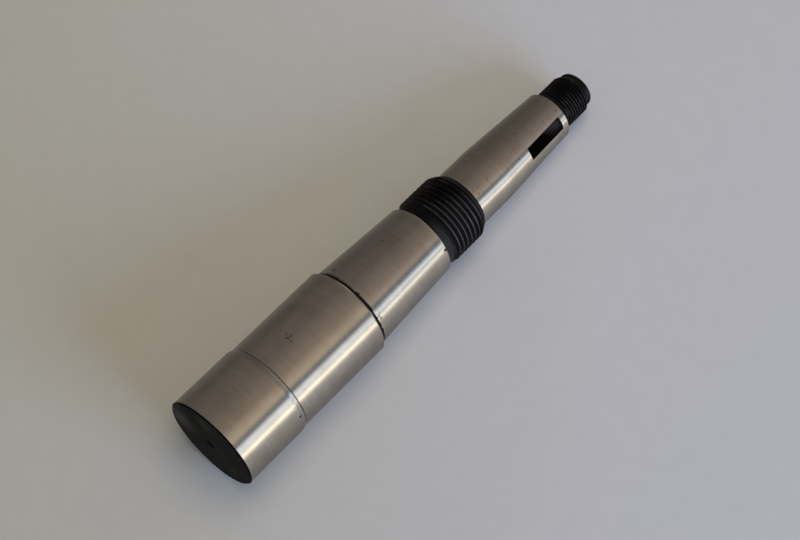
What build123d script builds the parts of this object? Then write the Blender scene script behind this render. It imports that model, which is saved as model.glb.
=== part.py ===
"""Stepped tool spindle, turned from one steel bar and ground between centres.

From the big end to the small end it has a bearing journal, a slightly smaller
seat that stops at an undercut shoulder, a taper, a large screw thread, a plain
neck that runs into a second taper with a half-moon keyseat, a small screw
thread and a plain pilot. Both ends keep the centre holes that it was turned and
ground on.

The spindle stands on its big end. Its axis is +Z, the origin is the centre of
the big end face, and the keyseat opens towards -Y. All sizes are millimetres.
"""

from build123d import *
import math
import os

# ---- bearing journal and seat, at the big end ----------------------------------
journal_diameter = 35.0
journal_length = 25.8         # with its lead-in
journal_lead_drop = 0.45      # how far the lead-in falls below the journal
journal_lead_angle = 15.0
journal_lead_radius = 4.0     # blends the journal into the lead-in
big_end_chamfer = 0.5
step_groove_width = 0.4
step_groove_depth = 0.2       # below the seat
seat_diameter = 33.9
seat_length = 37.6            # from the step's groove to the shoulder
seat_end_chamfer = 0.7

# ---- grinding undercut at the shoulder -----------------------------------------
undercut_width = 0.9
undercut_depth = 0.57         # below the large taper's big end
undercut_root_radius = 0.25

# ---- tapers ---------------------------------------------------------------------
taper_ratio = 9.25            # length in which the diameter falls by one
large_taper_diameter = 31.34  # at its big end
large_taper_length = 35.8
large_taper_edge_radius = 0.5
neck_diameter = 22.6
neck_length = 15.6
small_taper_length = 34.1     # starts at the neck's diameter
small_taper_edge_chamfer = 0.35

# ---- screw threads, drawn at their major diameter; depths are below it ---------
large_thread_diameter = 26.8
large_thread_length = 19.8    # from the taper to the end of the chamfer
large_thread_relief_depth = 0.85
large_thread_relief_width = 3.4
large_thread_end_depth = 1.4
small_thread_diameter = 15.75
small_thread_length = 13.6
small_thread_end_depth = 0.925
thread_start_angle = 45.0     # chamfer beside the relief
thread_end_angle = 30.0       # chamfer where the nut starts
shoulder_corner_radius = 0.4

# ---- pilot, at the small end ----------------------------------------------------
pilot_diameter = 13.7
pilot_length = 2.6
pilot_edge_radius = 1.1

# ---- half-moon keyseat in the small taper --------------------------------------
key_width = 5.0
key_cutter_diameter = 20.0
keyseat_depth = 5.85          # below the taper's surface, at the cutter's centre
keyseat_station = 22.3        # cutter's centre, from the big end of the small taper
keyseat_corner_radius = 0.3

# ---- centre holes, drilled with a 60 degree centre drill ------------------------
centre_mouth_diameter = 3.35
centre_drill_diameter = 1.6
centre_drill_depth = 3.5
centre_angle = 60.0
drill_point_angle = 118.0


def run_for(rise, angle):
    """Return the axial length of a cone that rises by `rise` at `angle` to the axis."""
    return rise / math.tan(math.radians(angle))


def taper_radius(big_diameter, distance):
    """Return a taper's radius at a distance from its big end."""
    return (big_diameter - distance / taper_ratio) / 2


# Stations along the axis, from the big end face.
lead_start = journal_length - run_for(journal_lead_drop, journal_lead_angle)
seat_start = journal_length + step_groove_width
shoulder_station = seat_start + seat_length
large_taper_start = shoulder_station + undercut_width
large_taper_end = large_taper_start + large_taper_length
neck_start = large_taper_end + large_thread_length
small_taper_start = neck_start + neck_length
small_taper_end = small_taper_start + small_taper_length
pilot_start = small_taper_end + small_thread_length
overall_length = pilot_start + pilot_length

large_taper_end_radius = taper_radius(large_taper_diameter, large_taper_length)
small_taper_end_radius = taper_radius(neck_diameter, small_taper_length)
undercut_radius = large_taper_diameter / 2 - undercut_depth
large_relief_radius = large_thread_diameter / 2 - large_thread_relief_depth


def relief_outline(start, major_radius, depth, width):
    """Return the (radius, station) corners of a thread's relief and its start chamfer."""
    end = start + width
    return [
        (major_radius - depth, start),
        (major_radius - depth, end),
        (major_radius, end + run_for(depth, thread_start_angle)),
    ]


def thread_end_outline(end, major_radius, depth):
    """Return the (radius, station) corners of the chamfer where the nut starts."""
    return [
        (major_radius, end - run_for(depth, thread_end_angle)),
        (major_radius - depth, end),
    ]


def journal_outline():
    """Return the corners from the big end face to the undercut."""
    journal_radius = journal_diameter / 2
    seat_radius = seat_diameter / 2
    return [
        (0, 0),
        (journal_radius - big_end_chamfer, 0),
        (journal_radius, big_end_chamfer),
        (journal_radius, lead_start),
        (journal_radius - journal_lead_drop, journal_length),
        (seat_radius - step_groove_depth, journal_length),
        (seat_radius - step_groove_depth, seat_start),
        (seat_radius, seat_start),
        (seat_radius, shoulder_station - seat_end_chamfer),
        (seat_radius - seat_end_chamfer, shoulder_station),
        (undercut_radius, shoulder_station),
        (undercut_radius, large_taper_start),
    ]


def spindle_outline():
    """Return every corner of the half section, anticlockwise from the origin."""
    chamfer = small_taper_edge_chamfer
    return [
        *journal_outline(),
        (large_taper_diameter / 2, large_taper_start),
        (large_taper_end_radius, large_taper_end),
        *relief_outline(large_taper_end, large_thread_diameter / 2,
                        large_thread_relief_depth, large_thread_relief_width),
        *thread_end_outline(neck_start, large_thread_diameter / 2, large_thread_end_depth),
        (neck_diameter / 2, neck_start),
        (neck_diameter / 2, small_taper_start),
        (taper_radius(neck_diameter, small_taper_length - chamfer), small_taper_end - chamfer),
        (small_taper_end_radius - chamfer, small_taper_end),
        (small_thread_diameter / 2, small_taper_end),
        *thread_end_outline(pilot_start, small_thread_diameter / 2, small_thread_end_depth),
        (pilot_diameter / 2, pilot_start),
        (pilot_diameter / 2, overall_length),
        (0, overall_length),
    ]


def corners_at(sketch, places):
    """Return the sketch's corners that lie at the given (radius, station) places."""
    found = []
    for radius, station in places:
        nearest = sketch.vertices().sort_by_distance((radius, 0, station))[0]
        found.append(nearest)
    return found


def spindle_section():
    """Draw the half section in the XZ plane, with its rounded corners."""
    rounded = [
        (journal_lead_radius, [(journal_diameter / 2, lead_start)]),
        (undercut_root_radius, [(undercut_radius, shoulder_station),
                                (undercut_radius, large_taper_start)]),
        (large_taper_edge_radius, [(large_taper_end_radius, large_taper_end)]),
        (shoulder_corner_radius, [(large_relief_radius, large_taper_end),
                                  (small_thread_diameter / 2, small_taper_end)]),
        (pilot_edge_radius, [(pilot_diameter / 2, overall_length)]),
    ]
    with BuildSketch(Plane.XZ) as section:
        with BuildLine():
            Polyline(*spindle_outline(), close=True)
        make_face()
        for radius, places in rounded:
            fillet(corners_at(section.sketch, places), radius)
    return section.sketch


def centre_hole(face_station, inward):
    """Return the centre drill's form, entering a face at a station."""
    cone = run_for((centre_mouth_diameter - centre_drill_diameter) / 2, centre_angle / 2)
    point = run_for(centre_drill_diameter / 2, drill_point_angle / 2)
    depths = [
        (0, 0),
        (centre_mouth_diameter / 2, 0),
        (centre_drill_diameter / 2, cone),
        (centre_drill_diameter / 2, centre_drill_depth),
        (0, centre_drill_depth + point),
    ]
    with BuildPart() as drill:
        with BuildSketch(Plane.XZ):
            with BuildLine():
                Polyline(*[(radius, face_station + inward * depth) for radius, depth in depths],
                         close=True)
            make_face()
        revolve(axis=Axis.Z)
    return drill.part


def keyseat_cutter():
    """Return the disc cutter, sunk to full depth at the keyseat's station."""
    surface_radius = taper_radius(neck_diameter, keyseat_station)
    centre_radius = surface_radius - keyseat_depth + key_cutter_diameter / 2
    disc = Cylinder(key_cutter_diameter / 2, key_width, rotation=(0, 90, 0))
    disc = fillet(disc.edges().filter_by(GeomType.CIRCLE), keyseat_corner_radius)
    return Pos(0, -centre_radius, small_taper_start + keyseat_station) * disc


def make_spindle():
    """Revolve the section, then drill the centres and cut the keyseat."""
    blank = revolve(spindle_section(), axis=Axis.Z)
    spindle = blank - centre_hole(0, 1) - centre_hole(overall_length, -1) - keyseat_cutter()
    spindle.label = "spindle"
    return spindle


if __name__ == "__main__":
    os.makedirs("parts", exist_ok=True)
    export_step(make_spindle(), "parts/spindle.step")
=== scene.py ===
"""Tapered machine spindle, standing on its big end.

A journal and a seat, a ground taper, a black screw thread, a neck that runs into
a second ground taper with a half-moon keyseat, a small black thread and a pilot.
Lengths are millimetres until a mesh is made, and Blender's are metres.
"""

import logging
import math
from dataclasses import dataclass, field
from enum import Enum, IntEnum
from typing import Any, NamedTuple

import bmesh
import bpy
import numpy as np
from mathutils import Matrix, Vector

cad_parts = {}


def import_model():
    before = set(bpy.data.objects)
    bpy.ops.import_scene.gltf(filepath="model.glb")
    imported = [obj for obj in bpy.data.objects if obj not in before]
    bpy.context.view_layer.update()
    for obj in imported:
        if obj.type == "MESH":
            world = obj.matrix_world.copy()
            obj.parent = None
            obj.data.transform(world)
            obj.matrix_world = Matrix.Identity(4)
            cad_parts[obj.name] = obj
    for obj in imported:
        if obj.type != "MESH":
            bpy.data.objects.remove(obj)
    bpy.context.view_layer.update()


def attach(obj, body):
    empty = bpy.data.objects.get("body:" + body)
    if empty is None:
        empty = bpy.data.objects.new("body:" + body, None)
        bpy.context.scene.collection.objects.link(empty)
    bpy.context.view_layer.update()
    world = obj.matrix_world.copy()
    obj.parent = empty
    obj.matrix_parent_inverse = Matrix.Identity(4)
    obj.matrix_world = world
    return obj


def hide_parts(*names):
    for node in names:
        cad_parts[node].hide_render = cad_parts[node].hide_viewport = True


LOG = logging.getLogger("spindle")
MM = 0.001
WAVE_PERIOD = 0.314  # metres between the rings of a wave texture whose scale is one
KEYSEAT_BEARING = math.radians(-90.0)  # the keyseat opens towards -Y
VIEWER_BEARING = math.radians(-120.6)  # the side that faces the camera


class Finish(IntEnum):
    """The two surfaces of the spindle, as material slots of its mesh."""

    GROUND = 0
    BLACKED = 1


class Side(Enum):
    """The rays that a stage surface shows itself to."""

    CAMERA = "Is Camera Ray"
    MIRRORED = "Is Glossy Ray"
    THROUGH = "Is Transmission Ray"


# ---------------------------------------------------------------- small helpers


def linear(hex_colour: str) -> tuple[float, float, float, float]:
    """Turns an sRGB hex colour into the linear colour that shaders take.

    Args:
        hex_colour: six hex digits after a hash sign.

    Returns:
        Red, green, blue and an alpha of one.
    """
    parts = [int(hex_colour[i : i + 2], 16) / 255 for i in (1, 3, 5)]
    return (
        *(c / 12.92 if c <= 0.04045 else ((c + 0.055) / 1.055) ** 2.4 for c in parts),
        1.0,
    )


def add_node(
    tree: bpy.types.NodeTree,
    kind: str,
    inputs: dict[str | int, Any] | None = None,
    **settings: Any,
) -> bpy.types.Node:
    """Adds one shader node with its settings, values and links.

    A Mix node has a set of sockets for each kind of value: 0 is its factor, 6 and 7
    are its two colours, and output 2 is their mix.

    Args:
        tree: the node tree that gets it.
        kind: the node's type name, without the leading ShaderNode.
        inputs: for each socket's name or number, a value, the socket to link from, or
            the node whose first output is linked.
        **settings: the node's own properties.

    Returns:
        The new node.
    """
    node = tree.nodes.new("ShaderNode" + kind)
    for name, value in settings.items():
        setattr(node, name, value)
    for key, value in (inputs or {}).items():
        if isinstance(value, bpy.types.Node):
            value = value.outputs[0]
        if isinstance(value, bpy.types.NodeSocket):
            tree.links.new(value, node.inputs[key])
        else:
            node.inputs[key].default_value = value
    return node


def empty_tree(owner: bpy.types.Material | bpy.types.World) -> bpy.types.NodeTree:
    """Turns on the nodes of a material or a world, and clears them."""
    owner.use_nodes = True
    owner.node_tree.nodes.clear()
    return owner.node_tree


def add_object(name: str, data: bpy.types.ID) -> bpy.types.Object:
    """Puts a new object that shows this data into the scene, at the origin."""
    added = bpy.data.objects.new(name, data)
    bpy.context.scene.collection.objects.link(added)
    return added


def smooth_step(x: np.ndarray) -> np.ndarray:
    """Returns 0 below 0, 1 above 1, and 3x² - 2x³ between."""
    t = np.clip(x, 0.0, 1.0)
    return t * t * (3.0 - 2.0 * t)


def about_axis(
    radius: np.ndarray, bearing: np.ndarray, station: np.ndarray | float
) -> np.ndarray:
    """Returns the points (r·cos(b), r·sin(b), s) for radii r, bearings b and stations s."""
    x, y = radius * np.cos(bearing), radius * np.sin(bearing)
    return np.stack(np.broadcast_arrays(x, y, station), axis=-1)


def grid_quads(rows: int, columns: int) -> np.ndarray:
    """Returns the numbers of the four points round each face of a grid of points."""
    corner = np.arange(rows - 1)[:, None] * columns + np.arange(columns - 1)
    return np.stack([corner, corner + 1, corner + columns + 1, corner + columns], axis=-1)


# ------------------------------------------------------------------ the shape


@dataclass(frozen=True)
class SpindleSizes:
    """The spindle's sizes in millimetres and degrees, named as in the part's source."""

    journal_diameter: float = 35.0
    journal_length: float = 25.8
    journal_lead_drop: float = 0.45
    journal_lead_angle: float = 15.0
    journal_lead_radius: float = 4.0
    big_end_chamfer: float = 0.5
    step_groove_width: float = 0.4
    step_groove_depth: float = 0.2
    seat_diameter: float = 33.9
    seat_length: float = 37.6
    seat_end_chamfer: float = 0.7
    undercut_width: float = 0.9
    undercut_depth: float = 0.57
    undercut_root_radius: float = 0.25
    taper_ratio: float = 9.25
    large_taper_diameter: float = 31.34
    large_taper_length: float = 35.8
    large_taper_edge_radius: float = 0.5
    neck_diameter: float = 22.6
    neck_length: float = 15.6
    neck_black_length: float = 0.9  # left black beside the shoulder
    neck_corner_radius: float = 0.2
    small_taper_length: float = 34.1
    small_taper_edge_chamfer: float = 0.35
    large_thread_diameter: float = 26.8
    large_thread_pitch: float = 2.0
    large_thread_length: float = 19.8
    large_thread_relief_depth: float = 0.85
    large_thread_relief_width: float = 3.4
    large_thread_end_depth: float = 1.4
    small_thread_diameter: float = 15.75
    small_thread_pitch: float = 1.25
    small_thread_length: float = 13.6
    small_thread_run_out: float = 1.7  # plain, before the first groove
    small_thread_end_depth: float = 0.925
    thread_end_angle: float = 30.0
    shoulder_corner_radius: float = 0.4
    pilot_corner_radius: float = 0.03
    pilot_diameter: float = 13.7
    pilot_length: float = 2.6
    pilot_edge_radius: float = 1.1
    key_width: float = 5.0
    key_cutter_diameter: float = 20.0
    keyseat_depth: float = 5.85
    keyseat_station: float = 22.3
    keyseat_corner_radius: float = 0.3
    centre_mouth_diameter: float = 3.35
    centre_drill_diameter: float = 1.6
    centre_drill_depth: float = 3.5
    centre_angle: float = 60.0
    drill_point_angle: float = 118.0

    @property
    def seat_start(self) -> float:
        """Station of the seat's big end, past the step's groove."""
        return self.journal_length + self.step_groove_width

    @property
    def shoulder(self) -> float:
        """Station of the shoulder face at the seat's end."""
        return self.seat_start + self.seat_length

    @property
    def large_taper_start(self) -> float:
        """Station of the large taper's big end."""
        return self.shoulder + self.undercut_width

    @property
    def large_taper_end(self) -> float:
        """Station of the large taper's small end."""
        return self.large_taper_start + self.large_taper_length

    @property
    def neck_start(self) -> float:
        """Station where the large thread's chamfer ends and the neck starts."""
        return self.large_taper_end + self.large_thread_length

    @property
    def small_taper_start(self) -> float:
        """Station of the small taper's big end."""
        return self.neck_start + self.neck_length

    @property
    def small_taper_end(self) -> float:
        """Station of the small taper's small end."""
        return self.small_taper_start + self.small_taper_length

    @property
    def pilot_start(self) -> float:
        """Station where the small thread's chamfer ends."""
        return self.small_taper_end + self.small_thread_length

    @property
    def length(self) -> float:
        """The whole length."""
        return self.pilot_start + self.pilot_length

    def taper_drop(self, distance: float | np.ndarray) -> float | np.ndarray:
        """Returns how far a taper's radius falls in a distance along the axis."""
        return distance / self.taper_ratio / 2


@dataclass(frozen=True)
class Thread:
    """A right-hand metric thread, cut into the surface between two stations."""

    diameter: float
    pitch: float
    start: float  # first station of the cut piece
    end: float
    outline: tuple[tuple[float, float], ...]  # stations and radii of the uncut blank
    crest_station: float  # of any crest, on the side that faces the camera
    fade_length: float = 1.0  # in which the first groove reaches its depth

    def depth(self, phase: np.ndarray) -> np.ndarray:
        """Works out how deep the groove is, measured in pitches.

        The crest is flat for an eighth of a pitch. A flank falls from it at 30
        degrees to a plane across the axis, so by the root of 3 for each unit along
        the axis. The root is an arc of 0.1443 pitch that both flanks touch.

        Args:
            phase: place along the axis in pitches, from a crest's middle, -0.5 to 0.5.

        Returns:
            The depth below the crest.
        """
        along = np.abs(phase)
        crest_end, root_start, arc = 1 / 16, 3 / 8, 0.1443
        flank = (along - crest_end) * math.sqrt(3.0)
        root_centre = (root_start - crest_end) * math.sqrt(3.0) - arc / 2
        root = root_centre + np.sqrt(np.maximum(arc**2 - (0.5 - along) ** 2, 0.0))
        return np.where(along < crest_end, 0.0, np.where(along < root_start, flank, root))


class Corner(NamedTuple):
    """A corner of the spindle's outline, its rounding, and the finish after it."""

    station: float
    radius: float
    rounding: float
    finish: Finish


@dataclass
class Sheet:
    """A grid of points in millimetres and its faces' finish."""

    points: np.ndarray  # rows, columns, 3
    finish: np.ndarray | Finish  # one for each row of faces, or for all of them
    kept: np.ndarray | None = None  # True where a face stays, rows by columns


def round_corners(corners: list[Corner], steps: int = 4) -> tuple[np.ndarray, np.ndarray]:
    """Rounds an outline's corners and adds a line of points beside each rounding.

    With a and b the directions into and out of a corner and w the angle between
    them, the arc of radius r starts r·tan(w/2) before the corner. After a turn of
    v it is r·sin(v) further along a and r·(1 - cos(v)) towards the turn's inside.
    The points beside it, a little before and after, keep long faces flat.

    Args:
        corners: the outline, from one end to the other.
        steps: flats in each arc.

    Returns:
        Stations and radii, and the finish that starts at each of them.
    """
    places = np.array([(c.station, c.radius) for c in corners])
    rounding = np.array([c.rounding for c in corners])
    finish = np.array([c.finish for c in corners])
    runs = np.diff(places, axis=0)
    lengths = np.linalg.norm(runs, axis=1)
    ways = runs / lengths[:, None]
    into, out = ways[[0, *range(len(ways))]], ways[[*range(len(ways)), -1]]
    turn = np.arccos(np.clip((into * out).sum(1), -1.0, 1.0))
    inside = (out - into * np.cos(turn)[:, None]) / np.maximum(np.sin(turn), 1e-9)[:, None]
    back = rounding * np.tan(turn / 2)
    free = np.minimum(0.3 * (lengths - back[:-1] - back[1:]), 0.15)  # of each straight run
    before, after = np.append(0.0, free), np.append(free, 0.0)
    share = np.linspace(0.0, 1.0, steps + 1)
    swing = share[None, :] * turn[:, None]
    arc = (
        (places - into * back[:, None])[:, None, :]
        + (rounding[:, None] * np.sin(swing))[..., None] * into[:, None, :]
        + (rounding[:, None] * (1 - np.cos(swing)))[..., None] * inside[:, None, :]
    )
    first = arc[:, :1] - (into * before[:, None])[:, None, :]
    last = arc[:, -1:] + (out * after[:, None])[:, None, :]
    line = np.concatenate([first, arc, last], axis=1).reshape(-1, 2)
    previous = np.append(finish[:1], finish[:-1])
    starts = np.where(
        (np.concatenate([[0.0], share, [1.0]]) < 0.5)[None, :],
        previous[:, None],
        finish[:, None],
    ).reshape(-1)
    apart = np.append(np.linalg.norm(np.diff(line, axis=0), axis=1) > 1e-5, True)
    return line[apart], starts[apart]


@dataclass
class Spindle:
    """The spindle's whole skin as one closed mesh, standing on the big end."""

    sizes: SpindleSizes = field(default_factory=SpindleSizes)
    columns: int = 160
    key_columns: int = 6  # from the keyseat's middle to its wall
    taper_rows: int = 7  # on the small taper, before the keyseat and after it
    edge: float = 0.08  # rounding of an edge that is only broken
    fine_edge: float = 0.05  # the same, at a small step or hole
    merge_distance: float = 0.002  # within which the sheets' points are joined
    sharp_angle: float = 32.0  # degrees between faces that aren't shaded as one
    bearings: np.ndarray = field(init=False)

    def __post_init__(self) -> None:
        """Sets the bearings of the columns, from the side away from the keyseat."""
        turn = np.linspace(0.0, 2 * math.pi, self.columns + 1)
        self.bearings = KEYSEAT_BEARING - math.pi + turn

    def turned(self, corners: list[Corner]) -> Sheet:
        """Turns an outline about the axis, with a column of points at each bearing."""
        line, starts = round_corners(corners)
        return Sheet(about_axis(line[:, 1:], self.bearings, line[:, :1]), starts[:-1])

    def centre_hole(self, face: float, inward: int) -> list[Corner]:
        """Draws a centre hole, from its mouth over its cone to the drill's point.

        Args:
            face: station of the end face.
            inward: 1 or -1, the way from the face into the metal.

        Returns:
            The corners of its outline.
        """
        s = self.sizes
        drill, mouth = s.centre_drill_diameter / 2, s.centre_mouth_diameter / 2
        cone = (mouth - drill) / math.tan(math.radians(s.centre_angle / 2))
        point = drill / math.tan(math.radians(s.drill_point_angle / 2))
        return [
            Corner(face + inward * depth, radius, rounding, Finish.BLACKED)
            for depth, radius, rounding in (
                (0.0, mouth, self.fine_edge),
                (cone, drill, 0.0),
                (s.centre_drill_depth, drill, 0.0),
                (s.centre_drill_depth + point, 0.0, 0.0),
            )
        ]

    def big_end(self) -> Sheet:
        """Makes everything from the big end's centre hole to the large relief.

        Returns:
            The turned sheet.
        """
        s = self.sizes
        black, bright = Finish.BLACKED, Finish.GROUND
        journal, seat = s.journal_diameter / 2, s.seat_diameter / 2
        lead = s.journal_lead_drop / math.tan(math.radians(s.journal_lead_angle))
        lead_end, groove = journal - s.journal_lead_drop, seat - s.step_groove_depth
        taper = s.large_taper_diameter / 2
        taper_end = taper - s.taper_drop(s.large_taper_length)
        undercut, root = taper - s.undercut_depth, s.undercut_root_radius
        relief = s.large_thread_diameter / 2 - s.large_thread_relief_depth
        return self.turned(
            [
                *reversed(self.centre_hole(0.0, 1)),
                Corner(0.0, journal - s.big_end_chamfer, self.edge, black),
                Corner(s.big_end_chamfer, journal, self.edge, bright),
                Corner(s.journal_length - lead, journal, s.journal_lead_radius, bright),
                Corner(s.journal_length, lead_end, self.fine_edge, bright),
                Corner(s.journal_length, groove, self.fine_edge, bright),
                Corner(s.seat_start, groove, self.fine_edge, bright),
                Corner(s.seat_start, seat, self.fine_edge, bright),
                Corner(s.shoulder - s.seat_end_chamfer, seat, self.edge, bright),
                Corner(s.shoulder, seat - s.seat_end_chamfer, self.edge, black),
                Corner(s.shoulder, undercut, root, black),
                Corner(s.large_taper_start, undercut, root, black),
                Corner(s.large_taper_start, taper, self.edge, bright),
                Corner(s.large_taper_end, taper_end, s.large_taper_edge_radius, black),
                Corner(s.large_taper_end, relief, s.shoulder_corner_radius, black),
                Corner(s.large_taper_end + s.large_thread_relief_width, relief, 0.0, black),
            ]
        )

    def neck(self) -> Sheet:
        """Makes the shoulder after the large thread, and the neck.

        Returns:
            The turned sheet.
        """
        s = self.sizes
        radius = s.neck_diameter / 2
        thread_end = s.large_thread_diameter / 2 - s.large_thread_end_depth
        return self.turned(
            [
                Corner(s.neck_start, thread_end, 0.0, Finish.BLACKED),
                Corner(s.neck_start, radius, s.neck_corner_radius, Finish.BLACKED),
                Corner(s.neck_start + s.neck_black_length, radius, 0.0, Finish.GROUND),
                Corner(s.small_taper_start, radius, 0.0, Finish.GROUND),
            ]
        )

    def small_taper_front(self) -> Sheet:
        """Makes the small taper's edge, its end face and the small thread's run-out.

        Returns:
            The turned sheet.
        """
        s = self.sizes
        chamfer, end = s.small_taper_edge_chamfer, s.small_taper_end
        rim = s.neck_diameter / 2 - s.taper_drop(s.small_taper_length)
        before = s.neck_diameter / 2 - s.taper_drop(s.small_taper_length - chamfer)
        thread = s.small_thread_diameter / 2
        return self.turned(
            [
                Corner(end - chamfer, before, 0.0, Finish.GROUND),
                Corner(end, rim - chamfer, self.fine_edge, Finish.BLACKED),
                Corner(end, thread, s.shoulder_corner_radius, Finish.BLACKED),
                Corner(end + s.small_thread_run_out, thread, 0.0, Finish.BLACKED),
            ]
        )

    def small_end(self) -> Sheet:
        """Makes the pilot, its end face and the centre hole.

        Returns:
            The turned sheet.
        """
        s = self.sizes
        black, pilot = Finish.BLACKED, s.pilot_diameter / 2
        thread_end = s.small_thread_diameter / 2 - s.small_thread_end_depth
        return self.turned(
            [
                Corner(s.pilot_start, thread_end, 0.0, black),
                Corner(s.pilot_start, pilot, s.pilot_corner_radius, black),
                Corner(s.length, pilot, s.pilot_edge_radius, black),
                *self.centre_hole(s.length, -1),
            ]
        )

    def large_thread(self) -> Thread:
        """Describes the large thread, with its start and end chamfers.

        Returns:
            The thread.
        """
        s = self.sizes
        start = s.large_taper_end + s.large_thread_relief_width
        radius = s.large_thread_diameter / 2
        chamfer = s.large_thread_end_depth / math.tan(math.radians(s.thread_end_angle))
        return Thread(
            diameter=s.large_thread_diameter,
            pitch=s.large_thread_pitch,
            start=start,
            end=s.neck_start,
            outline=(
                (start, radius - s.large_thread_relief_depth),
                (start + s.large_thread_relief_depth, radius),
                (s.neck_start - chamfer, radius),
                (s.neck_start, radius - s.large_thread_end_depth),
            ),
            crest_station=105.7,
        )

    def small_thread(self) -> Thread:
        """Describes the small thread, with its end chamfer.

        Returns:
            The thread.
        """
        s = self.sizes
        start = s.small_taper_end + s.small_thread_run_out
        radius = s.small_thread_diameter / 2
        chamfer = s.small_thread_end_depth / math.tan(math.radians(s.thread_end_angle))
        return Thread(
            diameter=s.small_thread_diameter,
            pitch=s.small_thread_pitch,
            start=start,
            end=s.pilot_start,
            outline=(
                (start, radius),
                (s.pilot_start - chamfer, radius),
                (s.pilot_start, radius - s.small_thread_end_depth),
            ),
            crest_station=175.6,
        )

    def threaded(self, thread: Thread) -> Sheet:
        """Cuts a thread between two stations.

        Every row follows the helix: at bearing b its station is its own first
        station plus a pitch for each turn of b, held between the thread's two end
        stations. So the rows keep their place in the groove, and the end of a row
        meets the start of the row one pitch further. The radius is the crest's less
        the groove's depth, and no more than the blank's.

        Args:
            thread: the thread.

        Returns:
            The threaded sheet.
        """
        # Rows of points are closest at the crest's edges and where the root starts.
        half = np.array([0.045, 1 / 16, 0.09, 0.22, 0.355, 3 / 8, 0.43])
        phases = np.concatenate([-half[::-1], half, [0.5]])
        turns = math.ceil((thread.end - thread.start) / thread.pitch) + 3
        offset = (VIEWER_BEARING - self.bearings[0]) / (2 * math.pi)
        first = math.floor((thread.start - thread.crest_station) / thread.pitch + offset) - 1
        place = (first + np.arange(turns)[:, None] + phases[None, :]).reshape(-1)
        rows = thread.crest_station + thread.pitch * (place - offset)
        swept = (self.bearings - self.bearings[0]) / (2 * math.pi)
        station = np.clip(
            rows[:, None] + thread.pitch * swept[None, :], thread.start, thread.end
        )
        across = (place + 0.5) % 1.0 - 0.5
        fade = smooth_step((station - thread.start) / thread.fade_length)
        cut = thread.depth(across)[:, None] * thread.pitch * fade
        blank = np.interp(station, *np.array(thread.outline).T)
        radius = np.minimum(blank, thread.diameter / 2 - cut)
        return Sheet(about_axis(radius, self.bearings, station), Finish.BLACKED)

    def taper_radius(self, station: np.ndarray) -> np.ndarray:
        """Returns the small taper's radius at a station."""
        s = self.sizes
        return s.neck_diameter / 2 - s.taper_drop(station - s.small_taper_start)

    def column_bearing(self, station: np.ndarray) -> np.ndarray:
        """Works out the small taper's columns beside the keyseat.

        From the keyseat's middle to its walls a column keeps its distance x from
        the middle plane, so its bearing is the arc sine of x over the taper's
        radius. The rest share what is left of the circle equally.

        Args:
            station: a station for each row and column.

        Returns:
            The bearings, from the middle of the keyseat.
        """
        column = np.arange(self.columns + 1) - self.columns // 2
        radius = self.taper_radius(station)
        half = self.sizes.key_width / 2
        wall = np.arcsin(half / radius)
        inner = np.clip(column / self.key_columns, -1.0, 1.0)
        beyond = (np.abs(column) - self.key_columns) / (self.columns // 2 - self.key_columns)
        return np.where(
            np.abs(column) <= self.key_columns,
            np.arcsin(half * inner / radius),
            np.sign(column) * (wall + (math.pi - wall) * beyond),
        )

    def keyseat_ends(self) -> tuple[np.ndarray, np.ndarray]:
        """Finds where the cutter's rim crosses the taper, for each column.

        The cutter is a circle of radius c about a centre at height h over the axis.
        At a distance x from the middle plane the taper's surface is the root of
        r² - x² high, so the crossing is c² less the square of the height between
        them, under a root, along the axis from the cutter's centre. The taper's
        radius there depends on the answer, which settles in a few rounds.

        Returns:
            The stations of the big and small end of the opening.
        """
        s = self.sizes
        column = np.arange(self.columns + 1) - self.columns // 2
        across = s.key_width / 2 * np.clip(column / self.key_columns, -1.0, 1.0)
        centre, height, cutter = self.cutter()
        ends = []
        for way in (-1, 1):
            station = np.full(across.shape, centre + way * cutter * 0.9)  # first guess
            for _ in range(60):
                surface = np.sqrt(self.taper_radius(station) ** 2 - across**2)
                station = centre + way * np.sqrt(cutter**2 - (height - surface) ** 2)
            ends.append(station)
        return ends[0], ends[1]

    def cutter(self) -> tuple[float, float, float]:
        """Places the keyseat's cutter.

        Its middle lies its own radius over the floor, which is the keyseat's depth
        below the taper's surface.

        Returns:
            Its station, its height over the axis and its radius.
        """
        s = self.sizes
        station = s.small_taper_start + s.keyseat_station
        radius = s.key_cutter_diameter / 2
        height = float(self.taper_radius(np.array(station))) - s.keyseat_depth + radius
        return station, height, radius

    def on_taper(self, station: np.ndarray, bearing: np.ndarray) -> np.ndarray:
        """Returns the taper's surface points at stations and bearings from the keyseat."""
        return about_axis(self.taper_radius(station), KEYSEAT_BEARING + bearing, station)

    def small_taper(self) -> list[Sheet]:
        """Makes the small taper round the keyseat's opening.

        Rows are spaced between the ends of the opening, and the columns inside it
        are left out. Before and after it the columns drift from equal bearings, at
        the taper's ends, to those beside the opening.

        Returns:
            The taper's three sheets.
        """
        s = self.sizes
        low, high = self.keyseat_ends()
        even = self.bearings - KEYSEAT_BEARING
        sheets = []
        for end, edge in ((s.small_taper_start, low), (s.small_taper_end, high)):
            if end > s.small_taper_start:
                end -= s.small_taper_edge_chamfer
            share = np.linspace(0.0, 1.0, self.taper_rows)[:, None]
            station = end + (edge - end) * share
            bearing = even + (self.column_bearing(edge) - even) * share**2
            points = self.on_taper(station, bearing)
            if end > s.small_taper_start:
                points = points[::-1]
            sheets.append(Sheet(points, Finish.GROUND))
        share = self.keyseat_rows()[:, None]
        station = low + (high - low) * share
        points = self.on_taper(station, self.column_bearing(station))
        column = np.arange(self.columns) - self.columns // 2
        outside = (column >= self.key_columns) | (column < -self.key_columns)
        kept = np.broadcast_to(outside, (len(points) - 1, self.columns))
        sheets.append(Sheet(points, Finish.GROUND, kept))
        return sheets

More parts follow.
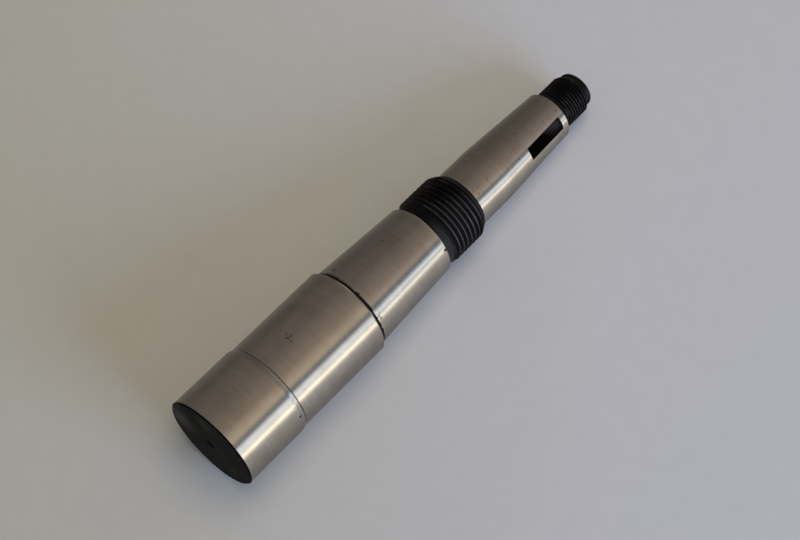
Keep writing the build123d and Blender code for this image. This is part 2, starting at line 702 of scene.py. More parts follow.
    @staticmethod
    def keyseat_rows(count: int = 33) -> np.ndarray:
        """Returns the rows along the keyseat from 0 to 1, closer at both ends."""
        return (1 - np.cos(np.linspace(0.0, math.pi, count))) / 2

    def keyseat(self) -> Sheet:
        """Makes the keyseat's walls and floor.

        Each row goes down one wall, round a small corner, over the floor and up the
        other wall. Walls follow lines to the cutter's centre, and the floor is the
        cutter's circle. At both ends the walls shrink to nothing, and the floor
        meets the taper.

        Returns:
            The keyseat's sheet.
        """
        s = self.sizes
        centre, height, cutter = self.cutter()
        half = s.key_width / 2
        low, high = self.keyseat_ends()
        middle, wall = self.columns // 2, self.key_columns
        low, high = (e[middle - wall : middle + wall + 1] for e in (low, high))
        station = low[0] + (high[0] - low[0]) * self.keyseat_rows()
        over = height - np.sqrt(self.taper_radius(station) ** 2 - half**2)
        reach = np.hypot(over, station - centre)
        angle = np.arctan2(station - centre, over)
        tall = np.maximum(cutter - reach, 0.0)
        corner = np.minimum(s.keyseat_corner_radius, 0.8 * tall)
        floor_x = np.linspace(-1.0, 1.0, 2 * wall + 1)
        first = np.arcsin((low - centre) / cutter)
        last = np.arcsin((high - centre) / cutter)
        share = (angle - angle[0]) / (angle[-1] - angle[0])
        floor_angle = first + (last - first) * share[:, None]
        down = np.array([0.0, 0.35, 1.0])  # rows on a wall
        wall_reach = reach[:, None] + (tall - corner)[:, None] * down
        swing = np.linspace(0.0, math.pi / 2, 5)[1:-1]  # rows round a corner
        arc_x = half - corner[:, None] * (1 - np.cos(swing))
        arc_reach = cutter - corner[:, None] * (1 - np.sin(swing))
        x = np.concatenate(
            [
                np.full_like(wall_reach, -half),
                -arc_x,
                (half - corner)[:, None] * floor_x,
                arc_x[:, ::-1],
                np.full_like(wall_reach, half),
            ],
            axis=1,
        )
        out = np.concatenate(
            [
                wall_reach,
                arc_reach,
                np.full_like(floor_angle, cutter),
                arc_reach[:, ::-1],
                wall_reach[:, ::-1],
            ],
            axis=1,
        )
        side = np.broadcast_to(angle[:, None], (len(angle), len(down) + len(swing)))
        swept = np.concatenate([side, floor_angle, side], axis=1)
        points = np.stack(
            [x, -(height - out * np.cos(swept)), centre + out * np.sin(swept)], axis=-1
        )
        return Sheet(points, Finish.BLACKED)

    def build(self) -> bpy.types.Object:
        """Joins all sheets into one closed mesh.

        Returns:
            The spindle's object, at the origin.
        """
        sheets = [
            self.big_end(),
            self.threaded(self.large_thread()),
            self.neck(),
            *self.small_taper(),
            self.keyseat(),
            self.small_taper_front(),
            self.threaded(self.small_thread()),
            self.small_end(),
        ]
        points, faces, finishes, count = [], [], [], 0
        for sheet in sheets:
            rows, columns = sheet.points.shape[:2]
            quads = count + grid_quads(rows, columns)
            kept = np.full(quads.shape[:2], True) if sheet.kept is None else sheet.kept
            finish = np.broadcast_to(np.reshape(sheet.finish, (-1, 1)), kept.shape)
            faces.append(quads[kept])
            finishes.append(finish[kept])
            points.append(sheet.points.reshape(-1, 3))
            count += rows * columns
        mesh = bpy.data.meshes.new("spindle_skin")
        places = np.concatenate(points) * MM
        mesh.from_pydata(places.tolist(), [], np.concatenate(faces).tolist())
        mesh.polygons.foreach_set("material_index", np.concatenate(finishes).astype(np.int32))
        skin = bmesh.new()
        skin.from_mesh(mesh)
        bmesh.ops.remove_doubles(skin, verts=skin.verts, dist=self.merge_distance * MM)
        open_edges = sum(not edge.is_manifold for edge in skin.edges)
        skin.to_mesh(mesh)
        skin.free()
        mesh.polygons.foreach_set("use_smooth", [True] * len(mesh.polygons))
        mesh.set_sharp_from_angle(angle=math.radians(self.sharp_angle))
        mesh.update()
        LOG.info("spindle: %d faces, %d open edges", len(mesh.polygons), open_edges)
        return add_object("spindle_ground", mesh)


# ------------------------------------------------------------------ the finishes


class Mark(NamedTuple):
    """A stain, speck or nick in the skin, or a patch of painted sheen, as a soft-edged blob about
    a point.
    """

    station: float
    bearing: float  # degrees from the side that faces the camera, towards the keyseat
    radius: float  # of the skin there
    length: float  # along the axis
    width: float
    strength: float
    core: float = 0.5  # share of its size that is full


class DarkBand(NamedTuple):
    """A dark band drawn on the steel, for black oxide that grinding left and for painted shade in
    a groove.
    """

    start: float  # stations
    end: float
    torn: float  # how far its end wanders
    strength: float


class Worn(NamedTuple):
    """Crests of a screw thread that rubbing has worn to the steel."""

    start: float  # stations
    end: float
    radius: float
    depth: float  # how far down from the crest it fades
    strength: float


def marked(
    tree: bpy.types.NodeTree, place: bpy.types.NodeSocket, marks: tuple[Mark, ...]
) -> bpy.types.Node:
    """Draws marks with ragged edges.

    A noise first moves each point by up to a quarter of a millimetre. A mark is then
    an ellipsoid about its middle: full inside its core, and gone outside it. On the
    steel the marks are stains and specks; on the black oxide most are painted sheen,
    painted reflection and painted light.

    Args:
        tree: the material's nodes.
        place: the object coordinates.
        marks: the marks.

    Returns:
        The node of a value from 0, where there is none, to the strongest mark there.
    """
    wander, ragged_width = 0.5 * MM, 0.8 * MM
    ragged = add_node(
        tree, "TexNoise", {"Vector": place, "Scale": 1 / ragged_width, "Detail": 2.0}
    )
    moved = add_node(
        tree,
        "VectorMath",
        {0: ragged.outputs["Color"], 1: (wander, wander, wander), 2: place},
        operation="MULTIPLY_ADD",
    )
    total: bpy.types.Node | float = 0.0
    for mark in marks:
        bearing = VIEWER_BEARING + math.radians(mark.bearing)
        middle = Vector(
            (mark.radius * math.cos(bearing), mark.radius * math.sin(bearing), mark.station)
        ) * MM + Vector((wander, wander, wander)) / 2
        scale = Vector((2 / mark.width, 2 / mark.width, 2 / mark.length)) / MM
        inside = add_node(
            tree, "VectorMath", {0: moved, 1: scale, 2: -middle * scale}, operation="MULTIPLY_ADD"
        )
        reach = add_node(tree, "VectorMath", {0: inside}, operation="LENGTH")
        blob = add_node(
            tree,
            "MapRange",
            {
                "Value": reach.outputs["Value"],
                "From Min": mark.core,
                "From Max": 1.0,
                "To Min": mark.strength,
                "To Max": 0.0,
            },
            interpolation_type="SMOOTHSTEP",
        )
        total = add_node(tree, "Math", {0: blob, 1: total}, operation="MAXIMUM")
    return total


@dataclass(frozen=True)
class GroundSteel:
    """Cylindrically ground alloy steel.

    The wheel leaves fine lines round the axis, so reflections stay crisp round the
    spindle and smear along it. Where the wheel dwelt, bands a few millimetres wide
    are a little brighter. Handling leaves cloudy stains and a few dark specks. The
    step's groove is darkened with painted shade, and black oxide is left on the first
    edge of the large taper, widened there with painted shade beside the undercut.
    """

    colour: str = "#B4B0AA"
    stain_colour: str = "#958E84"
    speck_colour: str = "#2B2723"
    roughness: float = 0.18
    along_smear: float = 0.8
    line_spacing: float = 0.8  # mm; real ones are a tenth of it, and wouldn't show
    line_length: float = 30.0  # mm, round the axis; a band's too
    band_spacing: float = 3.0
    stain_width: float = 9.0
    stain_strength: float = 0.45
    speck_spacing: float = 9.4
    speck_core: float = 0.02  # radius, as a share of the spacing
    speck_edge: float = 0.06
    speck_strength: float = 0.22
    edge_blur: float = 0.06  # mm to each side of a dark band's edge
    oxide_and_shade_bands: tuple[DarkBand, ...] = (
        DarkBand(25.84, 26.16, 0.06, 0.85),  # painted shade in the step's groove
        DarkBand(64.72, 65.0, 0.8, 0.95),  # black oxide on the large taper's first edge, widened with painted shade beside the undercut
    )
    torn_width: float = 0.9  # of the teeth in a dark band's end
    wave_width: float = 5.0  # of the slight unevenness that reflections show
    wave_height: float = 0.03
    marks: tuple[Mark, ...] = (
        Mark(24.0, 50.2, 17.5, 1.3, 1.2, 0.9),
        Mark(38.4, -29.1, 16.95, 1.5, 1.3, 0.45, 0.3),  # a scatter on the seat
        Mark(38.9, -24.2, 16.95, 1.9, 1.0, 0.55, 0.3),
        Mark(37.6, -24.8, 16.95, 1.1, 1.4, 0.6, 0.3),
        Mark(37.5, -18.9, 16.95, 1.4, 1.8, 0.4, 0.2),
        Mark(47.0, -52.0, 16.95, 2.2, 5.0, 0.15),
        Mark(65.9, 35.8, 15.6, 1.8, 1.6, 0.7, 0.1),  # by the undercut
        Mark(66.4, 28.6, 15.6, 1.3, 1.2, 0.4, 0.1),
        Mark(65.7, 32.0, 15.6, 1.5, 2.0, 0.55, 0.1),
        Mark(67.3, -54.6, 15.5, 1.0, 1.4, 0.6),
        Mark(73.8, -31.0, 15.2, 0.8, 0.8, 0.7),
        Mark(85.5, -36.6, 14.6, 1.2, 1.1, 0.6),
        Mark(99.8, 36.0, 13.8, 2.0, 1.9, 1.0, 0.3),  # a nick by the large thread
        Mark(129.3, 3.9, 11.3, 1.0, 1.0, 0.3),  # on the neck
        Mark(128.9, 6.0, 11.3, 0.9, 0.9, 0.2),
        Mark(123.2, 12.4, 11.3, 1.1, 1.3, 0.3),
        Mark(124.6, 3.5, 11.3, 0.9, 1.0, 0.25),
        Mark(143.8, 19.5, 10.9, 1.0, 1.0, 0.35),
        Mark(147.2, -8.1, 10.7, 0.8, 0.8, 0.3),
        Mark(167.9, 2.7, 9.6, 0.9, 1.0, 0.55),
    )

    def material(self) -> bpy.types.Material:
        """Builds the material.

        Returns:
            The material.
        """
        steel = bpy.data.materials.new("ground_steel")
        tree = empty_tree(steel)
        place = add_node(tree, "TexCoord").outputs["Object"]
        noises = []
        around = 1 / (self.line_length * MM)
        for spacing in (self.line_spacing, self.band_spacing):
            stretched = add_node(
                tree, "Mapping", {"Vector": place, "Scale": (around, around, 1 / (spacing * MM))}
            )
            noise = add_node(tree, "TexNoise", {"Vector": stretched, "Scale": 1.0, "Detail": 1.0})
            noises.append(noise)
        lines, bands = noises
        stains = add_node(
            tree,
            "TexNoise",
            {
                "Vector": place,
                "Scale": 1 / (self.stain_width * MM),
                "Detail": 5.0,
                "Roughness": 0.62,
            },
        )
        cloud = add_node(
            tree,
            "MapRange",
            {"Value": stains, "From Min": 0.42, "From Max": 0.8, "To Max": self.stain_strength},
        )
        stained = add_node(
            tree,
            "Mix",
            {0: cloud, 6: linear(self.colour), 7: linear(self.stain_colour)},
            data_type="RGBA",
        )
        streak = add_node(tree, "Math", {0: lines, 1: bands}, operation="ADD")
        tone = add_node(
            tree,
            "MapRange",
            {"Value": streak, "From Min": 0.75, "From Max": 1.25, "To Min": 0.97, "To Max": 1.02},
        )
        streaked = add_node(
            tree, "VectorMath", {0: stained.outputs[2], "Scale": tone}, operation="SCALE"
        )
        cells = add_node(
            tree, "TexVoronoi", {"Vector": place, "Scale": 1 / (self.speck_spacing * MM)}
        )
        near = add_node(
            tree,
            "MapRange",
            {
                "Value": cells.outputs["Distance"],
                "From Min": self.speck_core,
                "From Max": self.speck_edge,
                "To Min": self.speck_strength,
                "To Max": 0.0,
            },
        )
        station = add_node(tree, "SeparateXYZ", {0: place}).outputs[2]
        ragged = add_node(
            tree, "TexNoise", {"Vector": place, "Scale": 1 / (self.torn_width * MM), "Detail": 2.0}
        )
        # painted shade in the step's groove, and black oxide widened with painted shade on the
        # large taper's first edge
        painted_shade_and_oxide: bpy.types.Node | float = 0.0
        for dark_band in self.oxide_and_shade_bands:
            torn = add_node(
                tree,
                "Math",
                {0: ragged, 1: -2 * dark_band.torn * MM, 2: station},
                operation="MULTIPLY_ADD",
            )
            begun, ended = (
                add_node(
                    tree,
                    "MapRange",
                    {
                        "Value": value,
                        "From Min": (edge - self.edge_blur) * MM,
                        "From Max": (edge + self.edge_blur) * MM,
                        "To Min": 1.0 - beyond,
                        "To Max": beyond,
                    },
                )
                for value, edge, beyond in (
                    (station, dark_band.start, 1.0), (torn, dark_band.end - dark_band.torn, 0.0)
                )
            )
            ring = add_node(tree, "Math", {0: begun, 1: ended}, operation="MULTIPLY")
            painted_shade_and_oxide = add_node(
                tree,
                "Math",
                {0: ring, 1: dark_band.strength, 2: painted_shade_and_oxide},
                operation="MULTIPLY_ADD",
            )
        spots = add_node(
            tree, "Math", {0: near, 1: marked(tree, place, self.marks)}, operation="MAXIMUM"
        )
        dark = add_node(tree, "Math", {0: spots, 1: painted_shade_and_oxide}, operation="MAXIMUM")
        colour = add_node(
            tree, "Mix", {0: dark, 6: streaked, 7: linear(self.speck_colour)}, data_type="RGBA"
        )
        rough = add_node(
            tree,
            "MapRange",
            {
                "Value": lines,
                "From Min": 0.3,
                "From Max": 0.7,
                "To Min": self.roughness - 0.01,
                "To Max": self.roughness + 0.02,
            },
        )
        wave = add_node(
            tree, "TexNoise", {"Vector": place, "Scale": 1 / (self.wave_width * MM), "Detail": 1.0}
        )
        uneven = add_node(tree, "Math", {0: wave, 1: 1.2, 2: bands}, operation="MULTIPLY_ADD")
        bump = add_node(
            tree, "Bump", {"Height": uneven, "Strength": 0.3, "Distance": self.wave_height * MM}
        )
        tangent = add_node(tree, "Tangent", direction_type="RADIAL", axis="Z")
        shader = add_node(
            tree,
            "BsdfPrincipled",
            {
                "Base Color": colour.outputs[2],
                "Metallic": 1.0,
                "Roughness": rough,
                "Anisotropic": self.along_smear,
                "Anisotropic Rotation": 0.25,
                "Tangent": tangent,
                "Normal": bump,
            },
        )
        add_node(tree, "OutputMaterial", {"Surface": shader})
        return steel


@dataclass(frozen=True)
class BlackOxide:
    """Hot black oxide over turned steel, lightly oiled.

    It is nearly black. The oil gives rounded edges a thin grey line of light, and
    dust and rubbing leave cloudy grey patches. Soft grey patches of painted sheen,
    painted reflection and painted light lie on the big end's face, in its centre hole,
    on the pilot, on the keyseat's floor, on the large thread's relief and on the lit
    side of both threads. The crests of the threads are worn to the steel, so they
    catch the window in thin crisp lines; the wear is strongest under the painted sheen
    on the threads' lit side. The turning tool's fine rings only just show.
    """

    colour: str = "#090909"
    # of the dust patches, and of the marks' painted sheen and painted reflection
    dust_and_sheen_colour: str = "#313032"
    worn_colour: str = "#606265"
    roughness: float = 0.54
    rubbed_roughness: float = 0.3
    oil_ior: float = 1.46
    oil_level: float = 0.1  # of the usual mirror light, as the film is broken
    ring_spacing: float = 1.2  # mm; the tool's real feed, 0.1 to 0.2, wouldn't show
    ring_height: float = 0.02
    patch_width: float = 8.0
    patch_strength: float = 0.3
    grain_width: float = 0.9  # mm; the etched grain is a tenth of it, and wouldn't show
    grain_height: float = 0.05
    crest_blur: float = 0.02  # mm below a crest's top, down to which it is worn through
    clean_wear: float = 0.04  # share of a crest's wear that shows outside the dust patches and the painted sheen
    marks: tuple[Mark, ...] = (
        Mark(0.0, -106.0, 14.0, 12.0, 19.0, 0.95, 0.1),  # painted reflection on the big end's face, lighter on one side
        Mark(0.0, -76.0, 18.0, 8.0, 9.0, 0.6, 0.1),
        Mark(0.0, -26.0, 12.0, 8.0, 12.0, 0.35, 0.0),
        Mark(0.0, 100.0, 5.0, 8.0, 12.0, 0.15, 0.0),
        Mark(0.7, 0.0, 0.0, 4.0, 3.6, 0.8, 0.8),  # painted light in the centre hole's cone
        # painted sheen on the pilot's lit side
        Mark(185.0, 42.0, 6.9, 3.0, 8.0, 0.4, 0.1),
        # painted glint on the small thread's first crest
        Mark(172.6, 32.0, 7.7, 1.4, 4.5, 1.0),
        Mark(164.5, 30.6, 6.5, 12.0, 7.0, 1.0),  # painted light on the keyseat's floor
        # painted sheen on the large thread's relief and start
        Mark(102.3, 42.0, 12.5, 5.0, 25.0, 0.5),
        Mark(104.5, 54.0, 13.0, 1.6, 8.0, 0.8, 0.3),
        # painted sheen on the lit side of the large and the small thread
        Mark(111.0, 28.0, 13.2, 30.0, 24.0, 0.28, 0.4),
        Mark(178.0, 42.0, 7.8, 18.0, 10.0, 0.14, 0.3),
    )
    crests: tuple[Worn, ...] = (
        Worn(104.9, 118.6, 13.4, 0.07, 1.0),  # of the large thread
        Worn(172.6, 182.3, 7.875, 0.06, 0.9),  # of the small thread
    )

    def material(self) -> bpy.types.Material:
        """Builds the material.

        Returns:
            The material.
        """
        oxide = bpy.data.materials.new("black_oxide")
        tree = empty_tree(oxide)
        place = add_node(tree, "TexCoord").outputs["Object"]
        rings = add_node(
            tree,
            "TexWave",
            {
                "Vector": place,
                "Scale": WAVE_PERIOD / (self.ring_spacing * MM),
                "Distortion": 1.2,
                "Detail": 2.0,
                "Detail Scale": 2.0,
            },
            wave_type="RINGS",
            rings_direction="Z",
        )
        patches, grain = (
            add_node(
                tree,
                "TexNoise",
                {"Vector": place, "Scale": 1 / (width * MM), "Detail": detail, "Roughness": 0.6},
            )
            for width, detail in ((self.patch_width, 4.0), (self.grain_width, 2.0))
        )
        rubbed = add_node(
            tree,
            "MapRange",
            {"Value": patches, "From Min": 0.5, "From Max": 0.75, "To Max": self.patch_strength},
        )
        # dust patches, with the marks' painted sheen, painted reflection and painted light
        dust_and_painted_sheen = add_node(
            tree, "Math", {0: rubbed, 1: marked(tree, place, self.marks)}, operation="MAXIMUM"
        )
        station = add_node(tree, "SeparateXYZ", {0: place}).outputs[2]
        flat = add_node(tree, "VectorMath", {0: place, 1: (1.0, 1.0, 0.0)}, operation="MULTIPLY")
        radius = add_node(tree, "VectorMath", {0: flat}, operation="LENGTH")
        # crest wear follows the dust patches and the painted sheen, so it is strongest on the
        # threads' lit side
        handled = add_node(
            tree, "MapRange", {"Value": dust_and_painted_sheen, "From Max": 0.3, "To Min": self.clean_wear}
        )
        uneven = add_node(
            tree, "MapRange", {"Value": patches, "From Min": 0.35, "From Max": 0.6, "To Min": 0.35}
        )
        worn: bpy.types.Node | float = 0.0
        for crest in self.crests:
            high = add_node(
                tree,
                "MapRange",
                {
                    "Value": radius.outputs["Value"],
                    "From Min": (crest.radius - crest.depth) * MM,
                    "From Max": (crest.radius - self.crest_blur) * MM,
                    "To Max": crest.strength,
                },
            )
            within = add_node(
                tree,
                "Math",
                {
                    0: station,
                    1: (crest.start + crest.end) / 2 * MM,
                    2: (crest.end - crest.start) / 2 * MM,
                },
                operation="COMPARE",
            )
            here = add_node(tree, "Math", {0: high, 1: within}, operation="MULTIPLY")
            worn = add_node(tree, "Math", {0: here, 1: worn}, operation="ADD")
        for amount in (handled, uneven):
            worn = add_node(tree, "Math", {0: worn, 1: amount}, operation="MULTIPLY")
        # the colour of the dust patches and of the painted sheen
        tinted_dust_and_sheen = add_node(
            tree,
            "Mix",
            {0: dust_and_painted_sheen, 6: linear(self.colour), 7: linear(self.dust_and_sheen_colour)},
            data_type="RGBA",
        )
        colour = add_node(
            tree,
            "Mix",
            {0: worn, 6: tinted_dust_and_sheen.outputs[2], 7: linear(self.worn_colour)},
            data_type="RGBA",
        )
        shine = add_node(tree, "Math", {0: dust_and_painted_sheen, 1: worn}, operation="MAXIMUM")
        rough = add_node(
            tree,
            "MapRange",
            {"Value": shine, "To Min": self.roughness, "To Max": self.rubbed_roughness},
        )
        rings_bump = add_node(
            tree,
            "Bump",
            {"Height": rings.outputs["Fac"], "Strength": 0.2, "Distance": self.ring_height * MM},
        )
        bump = add_node(
            tree,
            "Bump",
            {
                "Height": grain,
                "Strength": 0.3,
                "Distance": self.grain_height * MM,
                "Normal": rings_bump,
            },
        )
        shader = add_node(
            tree,
            "BsdfPrincipled",
            {
                "Base Color": colour.outputs[2],
                "Metallic": worn,
                "Roughness": rough,
                "IOR": self.oil_ior,
                "Specular IOR Level": self.oil_level,
                "Normal": bump,
            },
        )
        add_node(tree, "OutputMaterial", {"Surface": shader})
        return oxide


# ------------------------------------------------------------------ the studio


class Tone(NamedTuple):
    """A colour of the room, at a bearing from the side that faces the camera."""

    bearing: float  # degrees, towards the keyseat
    colour: str


class Layer(NamedTuple):
    """A change of the room's tone with height, as the sine of the elevation."""

    start: float  # where it sets in
    end: float  # where it is full
    colour: str


class Lamp(NamedTuple):
    """A large soft lamp."""

    name: str
    place: tuple[float, float, float]  # metres from the spindle's middle
    size: float  # metres across
    power: float  # watts
    colour: str


@dataclass(frozen=True)
class Studio:
    """The surround, soft lamps, a pale sheet behind the spindle, a floor and a camera.

    The surround is drawn by bearing about the spindle's axis: a warm room on one
    side of a tall window, the window's cool and warm panes, and the pale sheet's
    own tone on the side behind it, so that the steel shows it. It has one ring of
    tones near the horizon and a dimmer one higher up. The sheet touches the spindle
    at the seat's end and at the large thread.
    """

    strength: float = 3.0  # of the surround's light
    tones: tuple[Tone, ...] = (
        Tone(-180, "#6C6C6C"),  # soft panel behind
        Tone(-171, "#6C6A69"),
        Tone(-163, "#4D4840"),  # shaded side of the sheet
        Tone(-120, "#413F3C"),
        Tone(-108, "#3A3835"),
        Tone(-94, "#413E3A"),
        Tone(-66, "#4B4540"),  # far wall
        Tone(-46, "#4D4741"),
        Tone(-24, "#59524B"),
        Tone(2, "#6B6055"),
        Tone(22, "#908273"),  # wall beside the window
        Tone(30, "#8F8477"),
        Tone(35, "#676562"),  # window post
        Tone(42, "#5A5B5E"),
        Tone(48, "#B9BEC4"),  # cool pane
        Tone(55, "#C7CBCD"),
        Tone(60, "#C1C0B9"),
        Tone(65, "#EFE9D8"),  # warm pane
        Tone(69, "#FFF9E7"),
        Tone(73, "#BFB8AC"),
        Tone(77, "#928F8A"),
        Tone(86, "#7A7977"),  # lit side of the sheet
        Tone(108, "#646362"),
        Tone(142, "#4C4C4D"),
        Tone(162, "#4A4A4C"),
        Tone(171, "#5B5A5A"),
    )
    high_tones: tuple[Tone, ...] = (
        Tone(-180, "#6E6D6D"),
        Tone(-171, "#6E6C69"),
        Tone(-163, "#504A41"),
        Tone(-120, "#3F3D3B"),
        Tone(-100, "#3B3936"),
        Tone(-66, "#413C39"),
        Tone(-46, "#443F3B"),
        Tone(-24, "#514C46"),
        Tone(2, "#5F5851"),
        Tone(14, "#655D56"),
        Tone(24, "#726A65"),
        Tone(30, "#77736D"),
        Tone(36, "#5B5A5A"),
        Tone(44, "#52585F"),
        Tone(51, "#949EAA"),
        Tone(56, "#CCD1DB"),
        Tone(61, "#92969C"),
        Tone(66, "#A3A9AD"),
        Tone(72, "#DFDED8"),
        Tone(77, "#B0A9A2"),
        Tone(86, "#858280"),
        Tone(108, "#6B6A69"),
        Tone(142, "#4F4E52"),
        Tone(162, "#4C4C4F"),
        Tone(171, "#626161"),
    )
    high_start: float = 0.34  # heights between which the ring of high tones takes over
    high_end: float = 0.46
    layers: tuple[Layer, ...] = (
        Layer(0.78, 0.9, "#8E8C88"),  # overhead
        Layer(0.95, 0.99, "#3A3937"),  # zenith
        Layer(0.0, -0.12, "#464543"),  # below
    )
    lamps: tuple[Lamp, ...] = (
        Lamp("front_lamp", (-1.0, -0.93, 0.1), 1.0, 8.3, "#FFEAD2"),
        Lamp("overhead_lamp", (0.1, -0.2, 1.3), 0.8, 8.0, "#FFFAF2"),
        Lamp("window_lamp", (0.45, -1.0, 0.0), 0.7, 11.0, "#BCD0FF"),
    )
    sheet_shade_and_light_colours: tuple[str, str] = ("#B6B9AE", "#C3C8CC")  # painted light falloff: darker and warmer towards the shaded side, lighter and cooler towards the window
    sheet_falloff_way: tuple[float, float, float] = (1.8, -2.3, 2.6)  # way of the painted falloff, from the shaded side to the window's side
    sheet_thread_touch: tuple[float, float] = (117.88, 13.4)  # station and radius, in mm
    sheet_turn: float = 18.6  # degrees that it faces past the camera, away from the keyseat
    sheet_reach: float = 1500.0  # mm from the touching point to each edge
    stage_gap: float = 0.05  # mm left between the spindle and the sheet or floor
    floor_colour: str = "#C9C7C4"
    fibre_width: float = 6.0  # of the mottle of the sheet and the floor
    camera_place: tuple[float, float, float] = (-258.76, -437.54, -125.16)  # mm
    camera_azimuth: float = -30.868  # degrees, of the way back from what it looks at
    camera_elevation: float = -22.722
    camera_roll: float = 45.668
    lens: float = 73.988  # mm, over a 36 mm sensor

    def surround(self) -> None:
        """Paints the world by bearing and height, fading to one tone at each pole."""
        world = bpy.data.worlds.new("surround")
        bpy.context.scene.world = world
        tree = empty_tree(world)
        way = add_node(tree, "SeparateXYZ", {0: add_node(tree, "TexCoord").outputs["Generated"]})
        bearing = add_node(
            tree, "Math", {0: way.outputs[1], 1: way.outputs[0]}, operation="ARCTAN2"
        )
        from_viewer = add_node(tree, "Math", {0: bearing, 1: VIEWER_BEARING}, operation="SUBTRACT")
        wrapped = add_node(
            tree, "Math", {0: from_viewer, 1: math.pi, 2: -math.pi}, operation="WRAP"
        )
        share = add_node(
            tree, "MapRange", {"Value": wrapped, "From Min": -math.pi, "From Max": math.pi}
        )
        colours = []
        for tones in (self.tones, self.high_tones):
            ramp = add_node(tree, "ValToRGB", {"Fac": share})
            stops = ramp.color_ramp.elements
            stops.remove(stops[1])
            stops[0].position = 0.0
            stops[0].color = linear(tones[0].colour)
            for tone in tones[1:]:
                stops.new((tone.bearing + 180) / 360).color = linear(tone.colour)
            stops.new(1.0).color = linear(tones[0].colour)
            colours.append(ramp)
        painted, high = colours
        for start, end, upper in (
            (self.high_start, self.high_end, high),
            *((layer.start, layer.end, linear(layer.colour)) for layer in self.layers),
        ):
            factor = add_node(
                tree,
                "MapRange",
                {"Value": way.outputs[2], "From Min": start, "From Max": end},
                interpolation_type="SMOOTHSTEP",
            )
            painted = add_node(
                tree, "Mix", {0: factor, 6: painted, 7: upper}, data_type="RGBA"
            ).outputs[2]
        light = add_node(tree, "Background", {"Color": painted, "Strength": self.strength})
        add_node(tree, "OutputWorld", {"Surface": light})

    @staticmethod
    def hang(lamp: Lamp) -> None:
        """Hangs a lamp that lights what is matt. The steel shows only the surround.

        Args:
            lamp: the lamp.
        """
        data = bpy.data.lights.new(lamp.name, "AREA")
        data.shape, data.size, data.energy = "DISK", lamp.size, lamp.power
        data.color = linear(lamp.colour)[:3]
        hung = add_object(lamp.name, data)
        hung.visible_glossy = False
        middle = Vector((0.0, 0.0, 0.09))
        hung.location = middle + Vector(lamp.place)
        hung.rotation_euler = (middle - hung.location).to_track_quat("-Z", "Y").to_euler()

    def matt(
        self,
        name: str,
        colours: tuple[str, str],
        way: tuple[float, float, float],
        sides: tuple[Side, ...],
    ) -> bpy.types.Material:
        """Builds a matt stage material that only shows from its front.

        Args:
            name: the material's name.
            colours: its colour at one side and the other; on the sheet, a painted light falloff.
            way: towards the other side. Its length is one over the metres between them.
            sides: the rays that see it; others pass.

        Returns:
            The material.
        """
        made = bpy.data.materials.new(name)
        tree = empty_tree(made)
        path = add_node(tree, "LightPath")
        seen = path.outputs[sides[0].value]
        for side in sides[1:]:
            seen = add_node(
                tree, "Math", {0: seen, 1: path.outputs[side.value]}, operation="MAXIMUM"
            )
        front = add_node(
            tree,
            "Math",
            {0: 1.0, 1: add_node(tree, "NewGeometry").outputs["Backfacing"]},
            operation="SUBTRACT",
        )
        shown = add_node(tree, "Math", {0: seen, 1: front}, operation="MULTIPLY")
        place = add_node(tree, "TexCoord").outputs["Object"]
        fibre = add_node(
            tree,
            "TexNoise",
            {"Vector": place, "Scale": 1 / (self.fibre_width * MM), "Detail": 6.0},
        )
        tint = add_node(tree, "MapRange", {"Value": fibre, "To Min": 0.97, "To Max": 1.03})
        across = add_node(tree, "VectorMath", {0: place, 1: way}, operation="DOT_PRODUCT")
        share = add_node(
            tree, "MapRange", {"Value": across.outputs["Value"], "From Min": -0.5, "From Max": 0.5}
        )
        # on the sheet, a painted falloff of light from the shaded side to the window's side
        blended = add_node(
            tree, "Mix", {0: share, 6: linear(colours[0]), 7: linear(colours[1])}, data_type="RGBA"
        )
        tinted = add_node(
            tree, "VectorMath", {0: blended.outputs[2], "Scale": tint}, operation="SCALE"
        )
        surface = add_node(tree, "BsdfDiffuse", {"Color": tinted, "Roughness": 0.6})
        clear = add_node(tree, "BsdfTransparent")
        mixed = add_node(tree, "MixShader", {0: shown, 1: clear, 2: surface})
        add_node(tree, "OutputMaterial", {"Surface": mixed})
        return made

    def backing_sheet(self, sizes: SpindleSizes) -> bpy.types.Object:
        """Stands the pale sheet against the far side of the spindle.

        It touches the seat's end and the large thread, as a sheet does that the
        spindle lies on. So its slope is the difference of those two radii over the
        distance between them, and it faces the camera's side.

        Args:
            sizes: the spindle's sizes.

        Returns:
            The sheet.
        """
        seat = (sizes.shoulder - sizes.seat_end_chamfer, sizes.seat_diameter / 2)
        thread = self.sheet_thread_touch
        bearing = VIEWER_BEARING - math.radians(self.sheet_turn)
        away = np.array([math.cos(bearing), math.sin(bearing), 0.0])
        up = np.array([0.0, 0.0, 1.0])
        along = up * (thread[0] - seat[0]) + away * (seat[1] - thread[1])
        along /= np.linalg.norm(along)
        across = np.cross(along, away)
        across /= np.linalg.norm(across)
        touch = up * seat[0] - away * (seat[1] + self.stage_gap)
        corners = [
            touch + self.sheet_reach * (a * along + b * across)
            for a, b in ((-1, -1), (-1, 1), (1, 1), (1, -1))
        ]
        mesh = bpy.data.meshes.new("backing_sheet")
        mesh.from_pydata([tuple(c * MM) for c in corners], [], [(0, 1, 2, 3)])
        mesh.update()
        if mesh.polygons[0].normal.dot(Vector(away)) < 0:
            mesh.flip_normals()
        sheet = add_object("backing_sheet", mesh)
        # its colours are a painted light falloff, darker and warmer on the shaded side
        paper = self.matt("pale_sheet", self.sheet_shade_and_light_colours, self.sheet_falloff_way, (Side.CAMERA,))
        mesh.materials.append(paper)
        return sheet

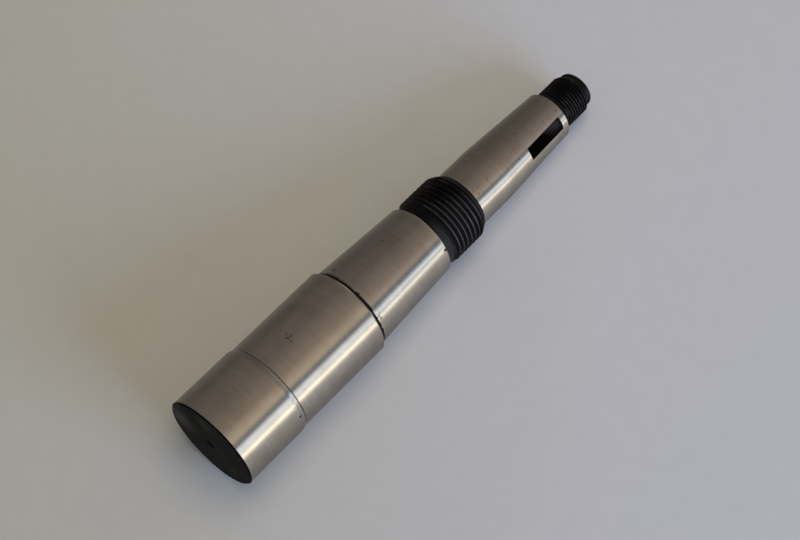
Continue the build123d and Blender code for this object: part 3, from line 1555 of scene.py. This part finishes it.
    def floor(self, sizes: SpindleSizes) -> bpy.types.Object:
        """Lays the floor round the foot, open under it so that the end face has light.

        A flat ring: at each radius a circle of points, just under the foot.

        Args:
            sizes: the spindle's sizes.

        Returns:
            The floor.
        """
        turns = np.linspace(0.0, 2 * math.pi, 97)
        hole = sizes.journal_diameter / 2 - sizes.big_end_chamfer
        radii = np.array([hole, 60.0, 400.0, 4000.0])
        points = about_axis(radii[:, None], turns, -self.stage_gap)
        quads = grid_quads(*points.shape[:2])[..., ::-1]
        mesh = bpy.data.meshes.new("floor")
        mesh.from_pydata((points.reshape(-1, 3) * MM).tolist(), [], quads.reshape(-1, 4).tolist())
        mesh.update()
        floor = add_object("floor", mesh)
        colours = (self.floor_colour, self.floor_colour)
        mesh.materials.append(self.matt("pale_floor", colours, (0.0, 0.0, 0.0), tuple(Side)))
        return floor

    def camera(self) -> None:
        """Sets the camera, by its place, the way it looks from, and its roll."""
        azimuth = math.radians(self.camera_azimuth)
        elevation = math.radians(self.camera_elevation)
        roll = math.radians(self.camera_roll)
        back = Vector(
            (
                math.sin(azimuth) * math.cos(elevation),
                -math.cos(azimuth) * math.cos(elevation),
                math.sin(elevation),
            )
        )
        level = Vector((0.0, 0.0, 1.0)).cross(back).normalized()
        upright = back.cross(level)
        right = level * math.cos(roll) + upright * math.sin(roll)
        top = upright * math.cos(roll) - level * math.sin(roll)
        data = bpy.data.cameras.new("camera")
        data.sensor_width, data.lens = 36.0, self.lens
        camera = add_object("camera", data)
        turn = Matrix((right, top, back)).transposed().to_4x4()
        camera.matrix_world = Matrix.Translation(Vector(self.camera_place) * MM) @ turn
        data.clip_start, data.clip_end = 0.01, 20.0
        bpy.context.scene.camera = camera

    def build(self, sizes: SpindleSizes) -> None:
        """Builds the whole studio.

        Args:
            sizes: the sizes of the spindle that it stands round.
        """
        self.surround()
        for lamp in self.lamps:
            self.hang(lamp)
        self.backing_sheet(sizes)
        self.floor(sizes)
        self.camera()
        bpy.context.scene.view_settings.view_transform = "Standard"


def main() -> None:
    """Loads the frame, builds the spindle over its CAD node, and the studio."""
    logging.basicConfig(level=logging.INFO)
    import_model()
    spindle = Spindle()
    body = spindle.build()
    body.data.materials.append(GroundSteel().material())
    body.data.materials.append(BlackOxide().material())
    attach(body, "root")
    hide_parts("spindle")
    Studio().build(spindle.sizes)


if __name__ == "__main__":
    main()
